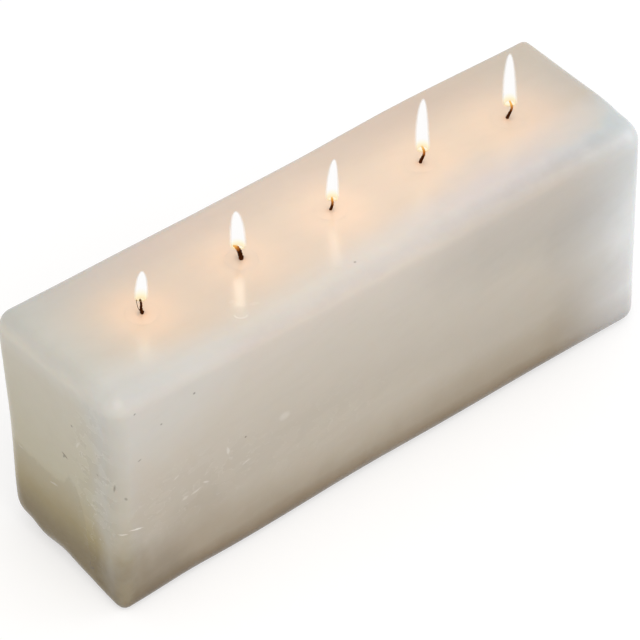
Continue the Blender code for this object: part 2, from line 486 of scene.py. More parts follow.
# where one colour gives way to the next: a side of the block, and how many millimetres
# inside it the change starts and is complete
waxBands = {
    "end": ("left", 15, 2),
    "cool": ("right", 78, 2),
    "darkerBelowLine": ("left", 7, 3),
    "topMiddle": ("front", 13, 35),
    "topBack": ("back", 43, 9),
    "top": ("top", 8, 0.5),
    "paintedEdgeShade": ("back", 2.2, 0.6),
    "base": ("base", 1.5, 0.3),
    "baseLengthwise": ("right", 8, 24),
    "baseCrosswise": ("back", 8, 20),
}

# what lies over the plain colours: a tint, and how strongly it covers them;
# the dark line on the back top edge is painted shade and the warm tint round
# the wicks is painted flame light
waxCoats = {
    "paintedEdgeShade": ("92949a", 0.5),
    "darkerBelowLine": ("8a7a5c", 0.22),
    "base": ("c9c1b3", 0.85),
    "darkStreak": ("8a7a5c", 0.032),
    "paleStreak": ("f3efe8", 0.022),
    "paleRim": ("f3efe8", 0.30),
    "darkRim": ("8a7a5c", 0.16),
    "flake": ("8a7a5c", 0.13),
    "paleMark": ("f3efe8", 1.0),
    "darkMark": ("5a4a38", 1.0),
    "paintedWickGlow": ("d89a62", 0.7),
}

# cloudy unevenness: the size of the patches, detail and roughness
waxGrain = {
    "cloud": (26 * millimetre, 4.0, 0.55),
    "ragged": (6 * millimetre, 4.0, 0.6),
    "broken": (5 * millimetre, 2.0),
    "rubbed": (7 * millimetre, 3.0, 0.45),
}
cloudPush = 0.05  # how far the clouds move the colours up and down, by share of the height
spotPush = (14 * millimetre, 14 * millimetre)  # the size and reach of the wander of the spots

# broad spots of painted light and shade, in millimetres: centre, half sizes, edge, colour,
# strength; the first two are painted highlights on the pale upright edge and round the near
# corner, and the darker ones paint shade along the top edge, on the front and at the base corners
paintedLightAndShadeSpots = [
    ((-198, -49, 84), (11, 14, 70), 1.2, "cccac5", 0.52),
    ((-180, -53, 148), (62, 26, 42), 0.9, "d6d7d3", 0.46),
    ((110, -55, 126), (78, 12, 30), 1.1, "98938c", 0.28),
    ((160, -55, 34), (32, 12, 32), 1.1, "8a7b66", 0.24),
    ((-171, -57, 8), (20, 10, 30), 1.1, "65563c", 0.34),
    ((-200, 4, 16), (12, 64, 24), 1.1, "7a6826", 0.30),
    ((-190, -57, 28), (10, 9, 22), 1.1, "7f7050", 0.34),
    ((-200, -55, 14), (7, 6, 18), 1.1, "b0a58c", 0.45),
    ((-145, -55, 43), (22, 8, 16), 1.1, "a08f78", 0.20),
    ((-30, -55, 43), (72, 8, 20), 1.1, "d5cbba", 0.25),
    ((146, -26, 152), (42, 13, 8), 1.1, "dbcec0", 0.50),
    ((84, -19, 152), (22, 8, 8), 1.1, "cdcac6", 0.35),
    ((146, -55, 95), (30, 12, 24), 1.1, "a4a4a4", 0.24),
    ((160, -55, 150), (28, 9, 10), 1.1, "a2a5a5", 0.17),
]

# places where the skin of the wax has peeled in ragged flakes, in millimetres:
# centre, half sizes, strength
peelSpots = [
    ((-200, -34, 84), (6, 17, 52), 0.8),
    ((-142, -55, 66), (50, 6, 22), 0.34),
    ((-60, -55, 58), (60, 6, 20), 0.22),
    ((60, 55, 62), (130, 6, 44), 0.25),
    ((200, 12, 50), (6, 46, 40), 0.20),
]

# the ragged line on the left end below which the wax is coloured darker:
# share of the depth, share of the height
leftEndLine = {
    "line": [
        (0.00, 0.02), (0.15, 0.06), (0.23, 0.10), (0.27, 0.22), (0.30, 0.36), (0.40, 0.48),
        (0.45, 0.44), (0.52, 0.42), (0.65, 0.415), (0.82, 0.435), (1.00, 0.45),
    ],
    "push": 0.06,
    "fade": 0.012,
}

# marks in the wax, in millimetres: face, along, up, half length, half width,
# tilt in degrees, strength
paleMarks = [
    ("front", -195.8, 58.4, 2.6, 0.45, -8, 0.85),
    ("front", -187.3, 58.8, 4.4, 0.45, -18, 0.95),
    ("front", -121.8, 77.5, 0.9, 2.6, 8, 0.50),
    ("front", -145.0, 61.5, 3.2, 0.7, 12, 0.45),
    ("front", -138.0, 64.0, 2.2, 0.6, -20, 0.50),
    ("front", -152.9, 60.8, 2.0, 0.9, 10, 0.35),
    ("front", -81.0, 79.6, 3.6, 2.6, 0, 0.32),
    ("front", -158.7, 79.4, 1.8, 0.7, 25, 0.35),
    ("front", -109.0, 62.0, 3.0, 0.5, 15, 0.40),
    ("left", -20.7, 103.9, 0.9, 2.6, 30, 0.45),
    ("left", -24.0, 99.7, 0.7, 2.0, -15, 0.35),
    ("left", 5.0, 57.8, 3.2, 0.7, -12, 0.40),
    ("left", 34.5, 65.0, 2.6, 0.6, 8, 0.30),
    ("top", -94.2, -25.4, 1.8, 1.3, 20, 0.14),
    ("top", -85.9, -34.9, 2.8, 1.1, -25, 0.14),
    ("top", -73.6, -52.9, 1.5, 0.8, 0, 0.60),
    ("top", -20.0, -52.5, 1.2, 0.7, 0, 0.40),
]
darkMarks = [
    ("front", -144.2, 132.3, 0.8, 0.7, 0, 0.55),
    ("front", -167.1, 123.3, 0.7, 0.6, 0, 0.45),
    ("front", -109.1, 80.3, 0.7, 0.6, 0, 0.55),
    ("front", -184.6, 140.4, 0.7, 0.5, 20, 0.50),
    ("front", -192.8, 84.0, 0.7, 1.2, 30, 0.40),
    ("front", -182.8, 106.5, 1.2, 0.5, 15, 0.40),
    ("front", -199.0, 37.0, 0.5, 6.5, 2, 0.35),
    ("left", -7.6, 87.4, 2.6, 0.8, 20, 0.60),
    ("left", -7.0, 86.6, 0.7, 1.8, 35, 0.55),
    ("left", -16.2, 114.6, 0.9, 0.8, 0, 0.45),
    ("left", -50.6, 92.0, 0.6, 2.8, 6, 0.50),
    ("left", -37.7, 93.8, 0.9, 0.7, 0, 0.30),
    ("left", -28.0, 17.4, 2.2, 0.9, -30, 0.55),
    ("left", -26.0, 19.8, 0.5, 2.0, 10, 0.45),
    ("top", -20.3, -42.9, 0.8, 0.6, 0, 0.45),
    ("top", -101.4, -54.4, 0.8, 0.6, 0, 0.50),
]

# how deep a mark reaches, how soft its edge is, and the size and reach of its wander
markLook = {
    "deep": 4 * millimetre,
    "edge": 0.9,
    "push": (3 * millimetre, 1.6 * millimetre),
    "paleStrength": 0.75,
}


def inMetres(values):
    return tuple(value * millimetre for value in values)


def turned(face, tilt):
    angle = math.radians(tilt)
    turns = {"front": (0.0, -angle, 0.0), "left": (angle, 0.0, 0.0), "top": (0.0, 0.0, angle)}
    return turns[face]


def marksOf(finish, where, marks):
    deep = markLook["deep"]
    total = 0.0
    for face, *numbers, tilt, strength in marks:
        along, up, length, width = inMetres(numbers)
        centre, size = {
            "front": ((along, -halfDepth, up), (length, deep, width)),
            "left": ((-halfLength, along, up), (deep, length, width)),
            "top": ((along, up, blockHeight), (length, width, deep)),
        }[face]
        mark = finish.blot(where, centre, size, turned(face, tilt), markLook["edge"])
        total = finish.maths("MAXIMUM", total, strength * mark)
    return total


def band(finish, value, name):
    # 0 where the band starts and 1 where it is complete
    side, start, complete = waxBands[name]
    place = sides[side][1]
    inward = -millimetre if place > 0 else millimetre
    return finish.soft(value, place + inward * start, place + inward * complete)


def coated(finish, colour, name, mask):
    shade, strength = waxCoats[name]
    return finish.blend(strength * mask, colour, tint(shade))


def waxColour(finish, where):
    look = waxLook
    x, y, z = finish.axes(where)
    height = z * (1 / blockHeight)
    length = x * (1 / blockLength) + 0.5
    depth = y * (1 / blockDepth) + 0.5
    cloud = finish.grain(where, *waxGrain["cloud"])
    wander = height + cloudPush * (cloud - 0.5)

    # painted shade: the sides and the left end grow darker towards the base
    colour = finish.ramp(wander, look["side"])
    colour = finish.blend(band(finish, x, "end"), colour, finish.ramp(wander, look["end"]))
    # painted light: the right end turns pale and bluish as if lit by daylight
    colour = finish.blend(band(finish, x, "cool"), colour, finish.ramp(wander, look["cool"]))

    # the top runs from its front edge over the row of wicks to its back edge;
    # its band along the wicks is warmer with painted flame light
    front = finish.ramp(length, look["topFront"])
    middle = finish.ramp(length, look["topMiddle"])
    back = finish.ramp(length, look["topBack"])
    top = finish.blend(band(finish, y - look["topSkew"] * x, "topMiddle"), front, middle)
    top = finish.blend(band(finish, y, "topBack"), top, back)
    topward = band(finish, z, "top")
    colour = finish.blend(topward, colour, top)
    # a painted dark line of shade where the top meets the back
    paintedEdgeShade = band(finish, y, "paintedEdgeShade") * topward
    colour = coated(finish, colour, "paintedEdgeShade", paintedEdgeShade)

    # darker below the ragged line on the left end
    ragged = finish.grain(where, *waxGrain["ragged"])
    above = height - finish.curve(depth, leftEndLine["line"]) + leftEndLine["push"] * (ragged - 0.5)
    below = finish.soft(above, leftEndLine["fade"], -leftEndLine["fade"])
    darkerBelowShare = below * band(finish, x, "darkerBelowLine")
    colour = coated(finish, colour, "darkerBelowLine", darkerBelowShare)

    # the flat of the base is as pale as the rest, without the painted shade of the lower sides
    inner = band(finish, abs(x), "baseLengthwise") * band(finish, abs(y), "baseCrosswise")
    under = inner * band(finish, z, "base")
    colour = coated(finish, colour, "base", under)

    # broad spots of painted highlight and painted shade
    pushed = finish.shifted(where, *spotPush)
    for centre, size, edge, shade, strength in paintedLightAndShadeSpots:
        spot = finish.blot(pushed, inMetres(centre), inMetres(size), edge=edge)
        colour = finish.blend(strength * spot, colour, tint(shade))
    return colour


# how wet the top is: damp along the row of wicks, and wet where wax ran from two of them
wetLook = {
    "row": (175, 30, 9),
    "damp": 0.08,
    "runs": {2: (17, 0.75), 3: (15, 0.55)},  # by number of the wick: half length, strength
    "runShape": 1.3,
    "runHeight": 9,
    "edge": 0.8,
    "dryRoughness": 0.265,
    "polish": 0.145,
}

# slow streaks where the wax was drawn out, along the block and a little upward
streakLook = {
    "size": (24, 10, 7),
    "tilt": 9,
    "grain": (4.0, 0.6),
    "dark": (0.46, 0.78),
    "pale": (0.50, 0.24),
}

# ragged flakes: each rim is a line in the noise, with its level and half width
flakeLook = {
    "size": (15, 13, 8),
    "tilt": 9,
    "grain": (3.5, 0.56),
    "zoneEdge": 1.0,
    "breaks": (0.40, 0.60),
    "paleRim": (0.525, 0.022),
    "darkRim": (0.495, 0.020),
    "solid": 0.002,
    "inside": (0.51, 0.45),
    "step": (0.485, 0.515),
    "height": 0.5,
}

# a small fold where a drip set on the top, below the second flame
drip = {
    "centre": (-97.9 * millimetre, -37.7 * millimetre, blockHeight),
    "size": (3.5, 2.7, 8),
    "turn": -40,
    "thickness": 0.30,
    "fade": 0.35,
    "strength": 0.28,
    "height": 0.5,
}

# light that sinks into the wax, and how the surface feels
waxSurface = {
    "scatter": 0.35,
    "scatterScale": 12 * millimetre,
    "scatterColours": (1.0, 0.6, 0.35),
    "bump": 0.12 * millimetre,
    "wetSmoothing": 0.45,
}


def wetness(finish, where, row):
    deep = wetLook["runHeight"] * millimetre
    wet = wetLook["damp"] * row
    for number, (reach, strength) in wetLook["runs"].items():
        source = wickPlaces[number - 1]
        length = reach * millimetre
        width = length * wetLook["runShape"]
        centre = (source.x - length, source.y - width, blockHeight)
        patch = finish.blot(where, centre, (length, width, deep), edge=wetLook["edge"])
        wet = finish.maths("MAXIMUM", wet, strength * patch)
    return wet


def drawnOut(finish, where, look):
    # noise stretched along the block, with patches of the size that the look gives
    turn = turned("front", look["tilt"])
    stretched = finish.local(where, (0.0, 0.0, 0.0), inMetres(look["size"]), turn)
    return finish.grain(stretched, 1.0, *look["grain"])


def waxFinish(name, scatter):
    finish = Finish(name)
    where = finish.place()
    row = finish.blot(where, (0.0, 0.0, blockHeight), inMetres(wetLook["row"]))
    roughness = wetLook["dryRoughness"] - wetLook["polish"] * wetness(finish, where, row)
    colour = waxColour(finish, where)

    streaks = drawnOut(finish, where, streakLook)
    dark = finish.soft(streaks, *streakLook["dark"])
    pale = finish.soft(streaks, *streakLook["pale"])
    colour = coated(finish, colour, "darkStreak", dark)
    colour = coated(finish, colour, "paleStreak", pale)

    # flakes: a pale rim, a darker one beside it and a duller patch inside
    zone = 0.0
    for centre, size, strength in peelSpots:
        spot = finish.blot(where, inMetres(centre), inMetres(size), edge=flakeLook["zoneEdge"])
        zone = finish.maths("MAXIMUM", zone, strength * spot)
    flake = drawnOut(finish, where, flakeLook)
    level, width = flakeLook["paleRim"]
    paleRim = finish.soft(abs(flake - level), width, flakeLook["solid"])
    paleRim *= finish.soft(finish.grain(where, *waxGrain["broken"]), *flakeLook["breaks"])
    level, width = flakeLook["darkRim"]
    darkRim = finish.soft(abs(flake - level), width, flakeLook["solid"])
    inside = finish.soft(flake, *flakeLook["inside"])
    colour = coated(finish, colour, "paleRim", zone * paleRim)
    colour = coated(finish, colour, "darkRim", zone * darkRim)
    colour = coated(finish, colour, "flake", zone * inside)

    # small flecks and scuffs, most of them low on the sides, and the fold of the drip
    pushed = finish.shifted(where, *markLook["push"])
    dripTurn = turned("top", drip["turn"])
    fold = finish.bow(
        where, drip["centre"], inMetres(drip["size"]), dripTurn, drip["thickness"], drip["fade"]
    )
    pale = markLook["paleStrength"] * marksOf(finish, pushed, paleMarks)
    pale = finish.maths("MAXIMUM", pale, drip["strength"] * fold)
    colour = coated(finish, colour, "paleMark", pale)
    colour = coated(finish, colour, "darkMark", marksOf(finish, where, darkMarks))
    # painted light: a warm glow of the flames on the wax round each wick;
    # only the pools carry this attribute
    colour = coated(finish, colour, "paintedWickGlow", finish.attribute("nearWick"))
    finish.surface(BaseColor=colour, Roughness=roughness)
    finish.surface(SubsurfaceWeight=scatter, SubsurfaceScale=waxSurface["scatterScale"])
    finish.surface(SubsurfaceRadius=waxSurface["scatterColours"])

    rubbed = finish.grain(where, *waxGrain["rubbed"])
    height = (1.0 - waxSurface["wetSmoothing"] * row) * rubbed + drip["height"] * fold
    height += flakeLook["height"] * (zone * finish.soft(flake, *flakeLook["step"]))
    finish.surface(Normal=finish.bump(height, waxSurface["bump"]))
    return finish.material


# round recesses in the base, in which the wick tabs show
recess = {
    "clearance": 0.3 * millimetre,
    "cover": 0.45 * millimetre,
    "segments": 96,
    "sharpAbove": 50,
}


def cutRecesses(piece):
    shape = bmesh.new()
    for number in wickNumbers:
        low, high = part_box(f"wick_tab_{number}")
        radius = (high.x - low.x) / 2 + recess["clearance"]
        bmesh.ops.create_cone(
            shape,
            cap_ends=True,
            segments=recess["segments"],
            radius1=radius,
            radius2=radius,
            depth=2 * (low.z + recess["cover"]),
            matrix=Matrix.Translation(((low.x + high.x) / 2, (low.y + high.y) / 2, 0.0)),
        )
    cutter = newObject("recess_cutter", newMesh("recess_cutter", shape))
    cut = piece.modifiers.new("recesses", "BOOLEAN")
    cut.operation = "DIFFERENCE"
    cut.object = cutter
    cut.solver = "EXACT"
    seen = piece.evaluated_get(bpy.context.evaluated_depsgraph_get())
    used = (piece.data, cutter.data)
    piece.data = bpy.data.meshes.new_from_object(seen)
    piece.modifiers.clear()
    piece.data.set_sharp_from_angle(angle=math.radians(recess["sharpAbove"]))
    bpy.data.objects.remove(cutter)
    for mesh in used:
        bpy.data.meshes.remove(mesh)


poured = waxFinish("pouredWax", waxSurface["scatter"])
pouredBlock = newPiece("poured_block", blockMesh(), poured, "candle_wax", "wax_block")
cutRecesses(pouredBlock)
print("block made")


def poolMesh(place):
    shape = bmesh.new()
    nearWick = shape.verts.layers.float.new("nearWick")
    hole = pool["wickHole"]
    upper = []
    lower = []
    for ring in range(pool["rings"]):
        share = ring / (pool["rings"] - 1)
        upperRing = []
        lowerRing = []
        for angle in anglesRound(pool["segments"]):
            rim = poolRadius(place, angle)
            reach = mixed(share, hole, rim)
            x = place.x + reach * math.cos(angle)
            y = place.y + reach * math.sin(angle)
            top = waxPoint(x, y, blockHeight).z
            climb = pool["climb"] * math.exp(-(reach - hole) / pool["climbReach"])
            rimShare = (reach / rim - pool["edgeFrom"]) / (1 - pool["edgeFrom"])
            drop = pool["edgeDrop"] * smooth(rimShare)
            corner = shape.verts.new((x, y, top + pool["film"] + climb - drop))
            corner[nearWick] = math.exp(-reach / pool["warmReach"])
            upperRing.append(corner)
            floor = top - dishDepth(x, y) - pool["edgeDrop"] - pool["sunk"]
            lowerRing.append(shape.verts.new((x, y, floor)))
        upper.append(upperRing)
        lower.append(lowerRing)
    joinRings(shape, upper + lower[::-1], closed=True)
    return shape


molten = waxFinish("moltenWax", 0.0)
for number, place in enumerate(wickPlaces, 1):
    newPiece(f"molten_pool_{number}", poolMesh(place), molten, "molten_wax", f"melt_pool_{number}")
print("pools made")

# the free end of each wick and its flame: places are (lean, rise, and how far towards the near
# side) in millimetres from where the wick leaves the wax, and fade is where the flame's clear
# foot ends and where it is solid, in millimetres above flameFoot
leanDirection = Vector((0.762, -0.648, 0.0))
towardDirection = Vector((-0.648, -0.762, 0.0))
wicks = [
    {
        "bend": [(-0.4, 1.3), (-0.55, 3.0), (-0.4, 5.4), (-0.5, 7.2), (-0.9, 9.2)],
        "fray": [(-1.2, 1.0), (-2.2, 3.4), (-2.7, 6.2), (-2.8, 8.4)],
        "thickness": 0.74,
        "foot": 1.42,
        "turn": 20,
        "hotFrom": 5.4,
        "flameFoot": (-0.4, 8.4),
        "flameTip": (0.9, 28.7),
        "flameBow": 0.0,
        "flameRadius": 3.65,
        "widestAt": 0.24,
        "taper": 1.9,
        "fade": (-2.0, 1.4),
        "gleam": 0.45,
    },
    {
        "bend": [
            (-0.4, 1.6), (-0.7, 3.4), (-1.15, 5.2, 0.3),
            (-1.75, 7.2, 1.0), (-2.8, 9.5, 2.0), (-3.6, 11.0, 2.8),
        ],
        "thickness": 1.22,
        "foot": 1.15,
        "turn": 30,
        "hotFrom": 5.9,
        "flameFoot": (-1.5, 5.9),
        "flameTip": (-2.4, 32.6),
        "flameBow": 0.15,
        "flameRadius": 4.45,
        "widestAt": 0.20,
        "taper": 2.1,
        "fade": (-0.7, 1.7),
        "gleam": 1.0,
    },
    {
        "bend": [(0.45, 1.2), (0.85, 2.8), (1.05, 4.4), (0.85, 6.6), (0.7, 8.7)],
        "thickness": 0.74,
        "foot": 1.0,
        "turn": 110,
        "hotFrom": 2.6,
        "flameFoot": (1.0, 5.5),
        "flameTip": (2.0, 35.4),
        "flameBow": -0.4,
        "flameRadius": 3.75,
        "widestAt": 0.18,
        "taper": 1.55,
        "fade": (-0.1, 2.6),
        "gleam": 0.65,
    },
    {
        "bend": [(0.6, 1.6), (1.2, 3.1), (1.85, 4.8), (2.05, 7.0), (1.6, 8.9), (0.5, 11.9)],
        "thickness": 0.80,
        "foot": 1.30,
        "turn": 60,
        "hotFrom": 4.4,
        "flameFoot": (1.4, 5.3),
        "flameTip": (0.9, 44.7),
        "flameBow": -0.6,
        "flameRadius": 4.1,
        "widestAt": 0.22,
        "taper": 1.8,
        "fade": (2.0, 4.6),
        "gleam": 0.45,
    },
    {
        "bend": [(0.5, 1.2), (1.2, 3.0), (1.95, 4.9), (2.35, 7.0), (1.85, 9.3), (0.9, 11.8)],
        "thickness": 0.78,
        "foot": 1.32,
        "turn": 45,
        "hotFrom": 4.4,
        "flameFoot": (1.3, 6.2),
        "flameTip": (0.0, 45.6),
        "flameBow": -0.3,
        "flameRadius": 4.25,
        "widestAt": 0.19,
        "taper": 1.6,
        "fade": (2.0, 4.6),
        "gleam": 0.35,
    },
]

# a plait of three cotton strands
plait = {
    "strands": 3,
    "swing": 0.36 * millimetre,
    "depth": 0.20 * millimetre,
    "strandRadius": 0.86 * millimetre,
    "pitch": 6.0 * millimetre,
    "tipShare": 0.70,
    "footReach": 0.25,
    "sides": 8,
    "hiddenStep": 1.1 * millimetre,
    "freeStep": 0.35 * millimetre,
    "roughness": 0.20,
    "crumbleSize": 0.7 * millimetre,
    "crumbleAtFoot": 0.4,
    "charAtWax": 0.14,
    "charAtHeat": 0.50,
    "heatPerMillimetre": 0.08,
}


def leaning(place, lean, rise, toward=0.0):
    offset = (leanDirection * lean + towardDirection * toward) * millimetre
    return Vector((place.x, place.y, blockHeight)) + offset + Vector((0.0, 0.0, rise * millimetre))


def smoothLine(points, step):
    # points about step apart on a smooth curve through the given ones
    ends = [points[0] * 2 - points[1], *points, points[-1] * 2 - points[-2]]
    line = []
    for before, start, end, after in zip(ends, ends[1:], ends[2:], ends[3:]):
        count = max(2, round((end - start).length / step))
        for part in range(count):
            share = part / count
            straight = start * 2 + (end - before) * share
            turn = (before * 2 - start * 5 + end * 4 - after) * share ** 2
            twist = (start * 3 - before - end * 3 + after) * share ** 3
            line.append((straight + turn + twist) / 2)
    line.append(points[-1])
    return line


def wickLine(number):
    # from the cut foot in the tab, through the block, to the burnt tip
    place = wickPlaces[number - 1]
    foot = Vector((place.x, place.y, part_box(f"wick_{number}")[0].z))
    surface = leaning(place, 0.0, 0.0)
    hiddenCount = round((surface - foot).length / plait["hiddenStep"])
    hidden = [foot.lerp(surface, part / hiddenCount) for part in range(hiddenCount)]
    free = [surface] + [leaning(place, *spot) for spot in wicks[number - 1]["bend"]]
    return hidden, smoothLine(free, plait["freeStep"])


# a loose fibre that has split off, with a bead of soot on its end
fray = {
    "radius": 0.16 * millimetre,
    "sides": 6,
    "bead": 0.42 * millimetre,
    "beadDetail": 3,
    "lumpSize": 0.3 * millimetre,
    "lump": 0.25,
    "burn": 0.34,
}


def addFray(shape, burn, line):
    before = set(shape.verts)
    rings = []
    for point in line:
        around = []
        for angle in anglesRound(fray["sides"]):
            outward = leanDirection * math.cos(angle) + towardDirection * math.sin(angle)
            around.append(shape.verts.new(point + outward * fray["radius"]))
        rings.append(around)
    joinRings(shape, rings)
    end = line[-1]
    bead = bmesh.ops.create_icosphere(
        shape, subdivisions=fray["beadDetail"], radius=fray["bead"], matrix=Matrix.Translation(end)
    )
    for corner in bead["verts"]:
        lump = noise.noise(corner.co / fray["lumpSize"])
        corner.co += (corner.co - end) * fray["lump"] * lump
    for corner in set(shape.verts) - before:
        corner[burn] = fray["burn"]


def burnAt(point, hotFrom):
    # charred from the wax up, and glowing hotter with each millimetre above hotFrom
    rise = (point.z - blockHeight) / millimetre
    if rise > hotFrom:
        return plait["charAtHeat"] + (rise - hotFrom) * plait["heatPerMillimetre"]
    share = max(rise, 0.0) / hotFrom
    return plait["charAtWax"] + (plait["charAtHeat"] - plait["charAtWax"]) * share


def acrossLine(line, at, quarter):
    # the directions across a line at one of its points, turned by an angle about the line
    before = line[max(at - 1, 0)]
    after = line[min(at + 1, len(line) - 1)]
    along = (after - before).normalized()
    level = Vector((0.0, 1.0, 0.0)).cross(along).normalized()
    upright = along.cross(level)
    side = level * math.cos(quarter) + upright * math.sin(quarter)
    return side, along.cross(side)


def wickMesh(number):
    shape = bmesh.new()
    burn = shape.verts.layers.float.new("burn")
    hidden, free = wickLine(number)
    line = hidden + free
    row = wicks[number - 1]
    quarter = math.radians(row["turn"])
    for strand in range(plait["strands"]):
        travelled = 0.0
        rings = []
        for at, point in enumerate(line):
            side, face = acrossLine(line, at, quarter)
            travelled += (point - line[max(at - 1, 0)]).length
            share = max(0.0, (at - len(hidden)) / (len(free) - 1))
            footShare = math.exp(-share / plait["footReach"]) if at >= len(hidden) else 1.0
            size = row["thickness"] * (1 + (plait["tipShare"] - 1) * share ** 2)
            size *= 1 + (row["foot"] - 1) * footShare
            phase = math.tau * (travelled / plait["pitch"] + strand / plait["strands"])
            centre = point + side * plait["swing"] * size * math.sin(phase)
            centre += face * plait["depth"] * size * math.sin(2 * phase)
            rough = plait["roughness"] * (plait["crumbleAtFoot"] + share)
            ring = []
            for angle in anglesRound(plait["sides"]):
                offset = side * math.cos(angle) + face * math.sin(angle)
                crumble = noise.noise((centre + offset * millimetre) / plait["crumbleSize"])
                radius = plait["strandRadius"] * size * (1 + rough * crumble)
                corner = shape.verts.new(centre + offset * radius)
                corner[burn] = burnAt(point, row["hotFrom"]) if at >= len(hidden) - 1 else 0.0
                ring.append(corner)
            rings.append(ring)
        joinRings(shape, rings)
    if "fray" in row:
        points = [leaning(wickPlaces[number - 1], *spot) for spot in row["fray"]]
        addFray(shape, burn, smoothLine(points, plait["freeStep"]))
    return shape


# the colours of cotton go by how burnt it is: pale inside the wax, then charred, then glowing
cottonLook = {
    "char": [
        (0.00, "f0dcc0"), (0.04, "c99a70"), (0.09, "4a2610"), (0.30, "3a1a06"), (0.50, "42200a"),
    ],
    "heat": [
        (0.50, "000000"), (0.60, "74421a"), (0.72, "aa682c"), (0.84, "d8923e"), (0.96, "f2ba60"),
    ],
    "uneven": 0.10,
    "patches": (1.2 * millimetre, 3.0),
    "fibres": (0.35 * millimetre, 3.0, 0.7),
    "fibreDepth": 0.12 * millimetre,
}


def wickFinish():
    finish = Finish("burntCotton")
    where = finish.place()
    patches = finish.grain(where, *cottonLook["patches"])
    burnt = finish.attribute("burn") + cottonLook["uneven"] * (patches - 0.5)
    colour = finish.ramp(burnt, cottonLook["char"])
    glow = finish.ramp(burnt, cottonLook["heat"])
    fibres = finish.grain(where, *cottonLook["fibres"])
    finish.surface(BaseColor=colour, Roughness=1.0, EmissionColor=glow, EmissionStrength=1.0)
    finish.surface(Normal=finish.bump(fibres, cottonLook["fibreDepth"]))
    finish.noShine()
    return finish.material


cotton = wickFinish()
for number in wickNumbers:
    newPiece(f"braided_wick_{number}", wickMesh(number), cotton, "braided_wick", f"wick_{number}")
print("wicks made")

# a flame is a few skins of glowing gas, each inside the last and thicker than it
flame = {
    "skins": [
        {"width": 1.08, "tip": 0.998, "cover": 0.13},
        {"width": 0.93, "tip": 0.986, "cover": 0.33},
        {"width": 0.76, "tip": 0.968, "cover": 1.00},
    ],
    "sides": 36,
    "rings": 44,
    "footReach": 0.97,
    "tipReach": 0.9985,
    "footBluntness": 5.0,
    "slant": 1.5,  # how much higher the clear foot reaches on the near side, in radii
    "flicker": 0.025,
    "flickerAround": 0.8,
    "flickerUp": 3.0,
    "flickerApart": 7.0,
    "brightness": 1.0,
    "warmth": [
        (0.04, "ffdc9c"), (0.18, "ffe6b2"), (0.36, "fff3d0"), (0.52, "fff9e2"),
        (0.90, "fefdfc"),
    ],
    "warmthStretch": 0.35,
}


def flameEnds(number):
    place = wickPlaces[number - 1]
    row = wicks[number - 1]
    return leaning(place, *row["flameFoot"]), leaning(place, *row["flameTip"])


def flameWidth(share, widestAt, taper):
    if share < widestAt:
        drop = (widestAt - share) / widestAt
        return math.sqrt(1 - (flame["footReach"] * drop) ** flame["footBluntness"])
    climb = (share - widestAt) / (1 - widestAt)
    return math.sqrt(max(1 - climb ** taper, 0.0))


def flameMesh(number):
    shape = bmesh.new()
    lift = shape.verts.layers.float.new("lift")
    cover = shape.verts.layers.float.new("cover")
    row = wicks[number - 1]
    foot, tip = flameEnds(number)
    clearBelow, solidAbove = row["fade"]
    for skin in flame["skins"]:
        rings = []
        skinTip = foot.lerp(tip, skin["tip"])
        for ring in range(flame["rings"]):
            share = 0.5 - 0.5 * math.cos(math.pi * ring / (flame["rings"] - 1))
            share *= flame["tipReach"]
            centre = foot.lerp(skinTip, share)
            centre += leanDirection * row["flameBow"] * millimetre * math.sin(math.pi * share)
            radius = row["flameRadius"] * millimetre * skin["width"]
            radius *= flameWidth(share, row["widestAt"], row["taper"])
            corners = []
            for angle in anglesRound(flame["sides"]):
                outward = Vector((math.cos(angle), math.sin(angle), 0.0))
                above = Vector((number * flame["flickerApart"], 0.0, share * flame["flickerUp"]))
                flicker = noise.noise(outward * flame["flickerAround"] + above)
                wide = radius * (1 + flame["flicker"] * flicker)
                corner = shape.verts.new(centre + outward * wide)
                near = flame["slant"] * radius * outward.dot(towardDirection)
                rise = (centre.z - near - foot.z) / millimetre
                corner[lift] = (rise - clearBelow) / (solidAbove - clearBelow)
                corner[cover] = skin["cover"]
                corners.append(corner)
            rings.append(corners)
        joinRings(shape, rings)
    return shape


def flameFinish():
    finish = Finish("candleFlame")
    lift = finish.attribute("lift")
    colour = finish.ramp(lift * flame["warmthStretch"], flame["warmth"])
    opacity = finish.attribute("cover") * finish.soft(lift, 0.0, 1.0)
    finish.surface(EmissionColor=colour, EmissionStrength=flame["brightness"])
    finish.surface(BaseColor=tint("000000"), Alpha=opacity, Roughness=1.0)
    finish.noShine()
    return finish.material


fire = flameFinish()
for number in wickNumbers:
    piece = newPiece(f"candle_flame_{number}", flameMesh(number), fire, "flame", f"flame_{number}")
    piece.visible_shadow = False
    piece.visible_glossy = False
print("flames made")

tabLook = {
    "dull": "b8b6b0",
    "bright": "d6d4ce",
    "cloud": (4 * millimetre, 3.0),
    "scratches": (0.6 * millimetre, 2.0),
    "scratchDepth": 0.02 * millimetre,
    "roughness": 0.24,
    "moreRoughness": 0.18,
}


def tabFinish():
    finish = Finish("tinnedSteel")
    where = finish.place()
    cloud = finish.grain(where, *tabLook["cloud"])
    scratches = finish.grain(where, *tabLook["scratches"])
    colour = finish.blend(cloud, tint(tabLook["dull"]), tint(tabLook["bright"]))
    roughness = tabLook["roughness"] + tabLook["moreRoughness"] * cloud
    finish.surface(BaseColor=colour, Metallic=1.0, Roughness=roughness)
    finish.surface(Normal=finish.bump(scratches, tabLook["scratchDepth"]))
    return finish.material


tin = tabFinish()
for number in wickNumbers:
    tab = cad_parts[f"wick_tab_{number}"]
    tab.data.materials.clear()
    tab.data.materials.append(tin)
print("tabs finished")

stage = {
    "floorSize": 8.0,
    "floorParts": 8,
    "floorColour": "b9b9b9",
    "floorGlow": 0.56,
    "skyLight": 0.78,
    "skyColour": "ffffff",
}


